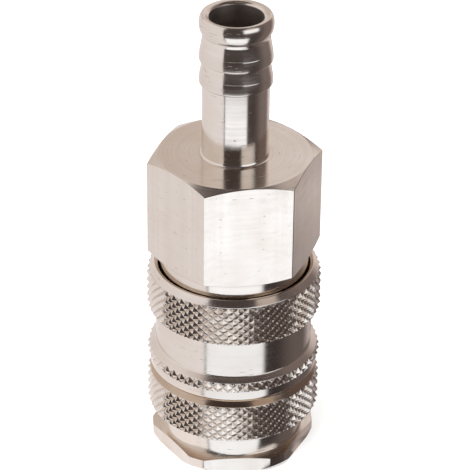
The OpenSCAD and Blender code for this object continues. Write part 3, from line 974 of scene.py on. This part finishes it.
@dataclass
class Studio:
    """Pale floor, soft light, glowing cards round the coupling, and the camera.

    The cards stand for the coloured sheets that a photographer of bright metal sets up,
    but glow with their own colours, so that the metal mirrors painted light. They are
    stage objects that only reflections show. Azimuths are in degrees from the camera's
    side, rising to its right, and lengths in millimetres.
    """

    fan_r: Pair = (11.6, 1499.0)
    dome_r: float = 1500.0
    floor_size: float = 3000.0
    camera_at: Triple = (0.109, -331.2, 230.5)
    camera_aim: Triple = (0.109, 0.0, 37.04)
    camera_roll: float = 0.62
    lens: float = 186.5
    left: Triple = (0.943, 0.924, 0.957)
    far_left: Triple = (0.86, 0.82, 0.826)
    dark: Triple = (0.074, 0.060, 0.059)
    brown: Triple = (0.215, 0.176, 0.170)
    back: Triple = (0.66, 0.574, 0.53)
    back_right: Triple = (0.83, 0.77, 0.76)
    far_right: Triple = (0.800, 0.712, 0.695)
    white: Triple = (1.157, 1.222, 1.326)

    def card(
        self, name: str, points: np.ndarray, colours: np.ndarray, flip: bool
    ) -> Object:
        """A card from a grid of points, lit by its own colours.

        Args:
            name: the card's name.
            points: shape (row, column, 3), in millimetres.
            colours: shape (row, column, 3), linear.
            flip: turn the faces round.
        """
        rows, cols = points.shape[:2]
        index = np.arange(rows * cols).reshape(rows, cols)
        a, b, c, d = index[:-1, :-1], index[:-1, 1:], index[1:, 1:], index[1:, :-1]
        quads = np.stack([a, b, c, d] if not flip else [d, c, b, a], -1).reshape(-1, 4)
        mesh = bpy.data.meshes.new(name)
        mesh.from_pydata((points.reshape(-1, 3) * MM).tolist(), [], quads.tolist())
        layer = mesh.color_attributes.new("card_colour", "FLOAT_COLOR", "POINT")
        rgba = np.concatenate([colours.reshape(-1, 3), np.ones((rows * cols, 1))], axis=1)
        layer.data.foreach_set("color", rgba.reshape(-1))
        material = bpy.data.materials.new(name + "_glow")
        tree = empty_tree(material)
        read = add_node(tree, "Attribute")
        read.attribute_name = "card_colour"
        glow = add_node(tree, "Emission", Color=read.outputs["Color"])
        add_node(tree, "OutputMaterial", Surface=glow.outputs[0])
        mesh.materials.append(material)
        card = add_object(name, mesh)
        for rays in ("camera", "diffuse", "transmission", "shadow", "volume_scatter"):
            setattr(card, "visible_" + rays, False)
        return card

    @staticmethod
    def direction(azimuth: np.ndarray, radius: np.ndarray) -> np.ndarray:
        """Direction in which an upright turned wall sees a place on the table.

        A wall of radius R that faces A / 2 mirrors the camera towards A. That line meets
        the circle of radius r at the azimuth A - asin(R sin(A / 2) / r), which is solved
        for A by repeated steps. R is the flange's for the nearest places, the sleeve's
        for near ones and the hose tail's for far ones.
        """
        sleeve_r, flange_more, tail_less, steps = 12.4, 0.7, 7.2, 40
        wall = sleeve_r + flange_more * (1 - smoothstep(16, 18, radius))
        wall = wall - tail_less * smoothstep(88, 100, radius)
        out = azimuth.copy()
        for _ in range(steps):
            share = np.clip(wall * np.sin(np.radians(out) / 2) / radius, -1, 1)
            out = azimuth + np.degrees(np.arcsin(share))
        return np.clip(out, -180, 180)

    def around(self, a: np.ndarray) -> np.ndarray:
        """Colours round the horizon: light at the left, dark in front and on the right."""
        sheets = (self.left, self.far_left, self.dark, self.brown, self.far_right)
        left, far_left, dark, brown, far = (np.array(c) for c in sheets)
        near = 1 - smoothstep(45, 160, -a)
        pale = left * near + far_left * (1 - near)
        first, second = smoothstep(62, 104, a), smoothstep(124, 154, a)
        shade = dark * (1 - first) + brown * first
        second = second * (1 - 0.75 * smoothstep(155, 168, a))
        return np.where(a < -39.5, pale, shade * (1 - second) + far * second)

    def low_colour(self, azimuth: np.ndarray, radius: np.ndarray) -> np.ndarray:
        """Colour of the sheets on the table.

        White lies in front between a sharp left edge with a dark line and a soft right
        edge, out to about 140 mm, and its brightness changes a little on the way. Light
        beige lies to the left, lighter near by, and dark brown to the right, darker near
        by, which grows lighter towards the far right and the back. A painted lamp glows far
        out on the right.
        """
        white = np.array(self.white)
        a = self.direction(azimuth, radius)[..., None]
        r = radius[..., None]
        near = 1 - smoothstep(120, 160, r)
        far = smoothstep(60, 95, r)
        start, stop = -40.0 + 3.5 * far, 47.5 - 7.0 * far
        front = smoothstep(start - 1, start + 1, a) * (1 - smoothstep(stop - 5, stop + 3, a))
        front = front * near
        line = np.exp(-(((a - start + 1.2) / 1.4) ** 2)) * near
        lamp = smoothstep(18, 26, a) * (1 - smoothstep(62, 68, a)) * smoothstep(1000, 1200, r)
        base = self.around(a)
        right_shade = -0.32 * (1 - far)
        left_shade = 0.17 * (1 - smoothstep(24, 40, r))
        shade = np.where(a > 0, right_shade, left_shade)
        level = 1 - 0.08 * smoothstep(22, 32, r) + 0.16 * smoothstep(50, 70, r) + 0.06 * far
        base = base * (1 + shade) * (1 - front) + level * white * front
        base = base * (1 - 0.8 * line)
        return base + (1.1 * white - base) * lamp

    def high_colour(self, azimuth: np.ndarray, elevation: np.ndarray) -> np.ndarray:
        """Colour of the tent above the table.

        The horizon's colours go up, dark in front as far as overhead. A middle beige lies
        behind, lighter to its right, and a painted softbox glows up on the right.
        """
        sheets = (self.dark, self.back, self.back_right, self.white, self.left, self.brown)
        dark, back, back_right, white, left, brown = (np.array(c) for c in sheets)
        a = azimuth[..., None]
        e = elevation[..., None]
        base = self.around(a)
        side = smoothstep(-1.2, 1.2, np.where(a < 0, a + 180, a - 180))
        behind = smoothstep(125, 165, np.abs(a)) * smoothstep(8, 24, e)
        rear = back * side + back_right * (1 - side)
        base = base * (1 - behind) + rear * behind
        toward = np.cos(np.radians(e)) * np.cos(np.radians(a))
        across = np.cos(np.radians(e)) * np.sin(np.radians(a))
        over = smoothstep(50, 64, e)
        top = smoothstep(-0.42, -0.27, toward) * smoothstep(-0.40, -0.32, across)
        cap = (0.6 * back + 0.4 * left) * (1 - top) + (0.8 * dark + 0.2 * brown) * top
        base = base * (1 - over) + cap * over
        middle = np.abs(a - 36 - 0.9 * (e - 27))
        box = (1 - smoothstep(15, 22, middle)) * smoothstep(26, 30, e) * (1 - smoothstep(55, 60, e))
        base = base + (0.9 * back - base) * box
        lamp = smoothstep(18, 26, a) * (1 - smoothstep(66, 74, a)) * (1 - smoothstep(27, 33, e))
        return base + (1.1 * white - base) * lamp

    def cards(self) -> None:
        """Lay the table's sheets and stand the tent round the coupling."""
        turn = np.radians(CAMERA_TURN - 90)
        azimuth = np.linspace(-180, 180, 721)
        radius = np.concatenate([
            np.linspace(self.fan_r[0], 20, 22), np.linspace(20.6, 60, 24), np.linspace(62, 200, 50),
            np.geomspace(220, self.fan_r[1], 24),
        ])
        az, r = np.meshgrid(azimuth, radius)
        polar = np.radians(az) + turn
        fan = np.stack([r * np.cos(polar), r * np.sin(polar), np.full_like(r, 0.05)], -1)
        self.card("table_sheets", fan, self.low_colour(az, r), False)
        az, el = np.meshgrid(azimuth, np.linspace(0, 89.9, 90))
        polar, e = np.radians(az) + turn, np.radians(el)
        tent = np.stack([np.cos(polar) * np.cos(e), np.sin(polar) * np.cos(e), np.sin(e)], -1)
        self.card("light_tent", self.dome_r * tent, self.high_colour(az, el), True)

    def floor(self) -> None:
        """A plain pale floor that shows white but keeps the coupling's shadow."""
        mesh = bpy.data.meshes.new("floor")
        size = self.floor_size * MM
        corners = [(-size, -size, 0), (size, -size, 0), (size, size, 0), (-size, size, 0)]
        mesh.from_pydata(corners, [], [(0, 1, 2, 3)])
        floor = add_object("floor", mesh)
        material = bpy.data.materials.new("pale_floor")
        tree = empty_tree(material)
        matt = add_node(tree, "BsdfDiffuse", Color=(0.92, 0.92, 0.92, 1))
        glow = add_node(tree, "Emission", Color=(1, 1, 1, 1), Strength=0.45)
        both = add_node(tree, "AddShader")
        plug(both.inputs[0], matt.outputs[0])
        plug(both.inputs[1], glow.outputs[0])
        add_node(tree, "OutputMaterial", Surface=self.seen_as(tree, matt, both))
        mesh.materials.append(material)

    @staticmethod
    def seen_as(tree: bpy.types.NodeTree, light: bpy.types.Node, look: bpy.types.Node) -> Socket:
        """The look on camera, glossy and transmission rays, the light's shader on others."""
        path = add_node(tree, "LightPath")
        total = path.outputs["Is Camera Ray"]
        for name in ("Is Glossy Ray", "Is Transmission Ray"):
            add = add_node(tree, "Math")
            add.operation = "MAXIMUM"
            plug(add.inputs[0], total)
            plug(add.inputs[1], path.outputs[name])
            total = add.outputs[0]
        mix = add_node(tree, "MixShader")
        for socket, value in zip(mix.inputs, (total, light.outputs[0], look.outputs[0])):
            plug(socket, value)
        return mix.outputs[0]

    def world(self) -> None:
        """White to the eye and in reflections, a soft plain light for the rest."""
        world = bpy.data.worlds.new("studio")
        bpy.context.scene.world = world
        tree = empty_tree(world)
        soft = add_node(tree, "Background", Color=(1.0, 0.985, 0.97, 1), Strength=0.75)
        white = add_node(tree, "Background", Color=(1, 1, 1, 1))
        add_node(tree, "OutputWorld", Surface=self.seen_as(tree, soft, white))

    def lamp(self, azimuth: float, elevation: float, distance: float, power: float) -> None:
        """An area lamp that faces the coupling, with its distance in metres."""
        data = bpy.data.lights.new("key", "AREA")
        data.size = 0.5
        data.energy = power
        lamp = add_object("key", data)
        polar, e = math.radians(CAMERA_TURN - 90 + azimuth), math.radians(elevation)
        flat = math.cos(e)
        toward = Vector((math.cos(polar) * flat, math.sin(polar) * flat, math.sin(e)))
        lamp.location = toward * distance
        lamp.visible_glossy = False
        lamp.rotation_euler = toward.to_track_quat("Z", "Y").to_euler()

    def camera(self) -> None:
        """The photograph's viewing angle, with a long lens."""
        data = bpy.data.cameras.new("camera")
        data.lens = self.lens
        data.sensor_width = 36.0
        data.clip_start = 0.01
        data.clip_end = 20.0
        camera = add_object("camera", data)
        turn = Matrix.Rotation(math.radians(CAMERA_TURN), 3, "Z")
        where = turn @ Vector(self.camera_at)
        aim = turn @ Vector(self.camera_aim)
        facing = (aim - where).to_track_quat("-Z", "Y").to_matrix()
        roll = Matrix.Rotation(math.radians(self.camera_roll), 3, "Z")
        camera.matrix_world = Matrix.Translation(where * MM) @ (facing @ roll).to_4x4()
        bpy.context.scene.camera = camera

    def build(self) -> None:
        """Set up the whole studio."""
        bpy.context.scene.view_settings.view_transform = "Standard"
        self.camera()
        self.floor()
        self.world()
        self.cards()
        self.lamp(azimuth=-35, elevation=55, distance=0.9, power=4.0)
        LOG.info("studio ready")


def main() -> None:
    """Build the studio, the finishes and the pieces, in that order."""
    logging.basicConfig(level=logging.INFO, format="%(message)s")
    Studio().build()
    finishes = Finishes.make()
    Mechanism(finishes).build()
    HoseTail().build(finishes)
    ReleaseSleeve(Knurl()).build(finishes)
    SafetyRing(Knurl()).build(finishes)
    for spring in (
        CoilSpring("sleeve_spring", "sleeve_slide", 1.8, True, mid_r=9.75, wire=1.0, turns=4.5),
        CoilSpring("ring_spring", "ring_slide", 3.0, False, mid_r=9.5, wire=0.7, turns=4.5),
        CoilSpring("valve_spring", "valve_slide", 4.0, True, mid_r=4.2, wire=0.7, turns=6.0),
    ):
        spring.build(finishes)


if __name__ == "__main__":
    main()
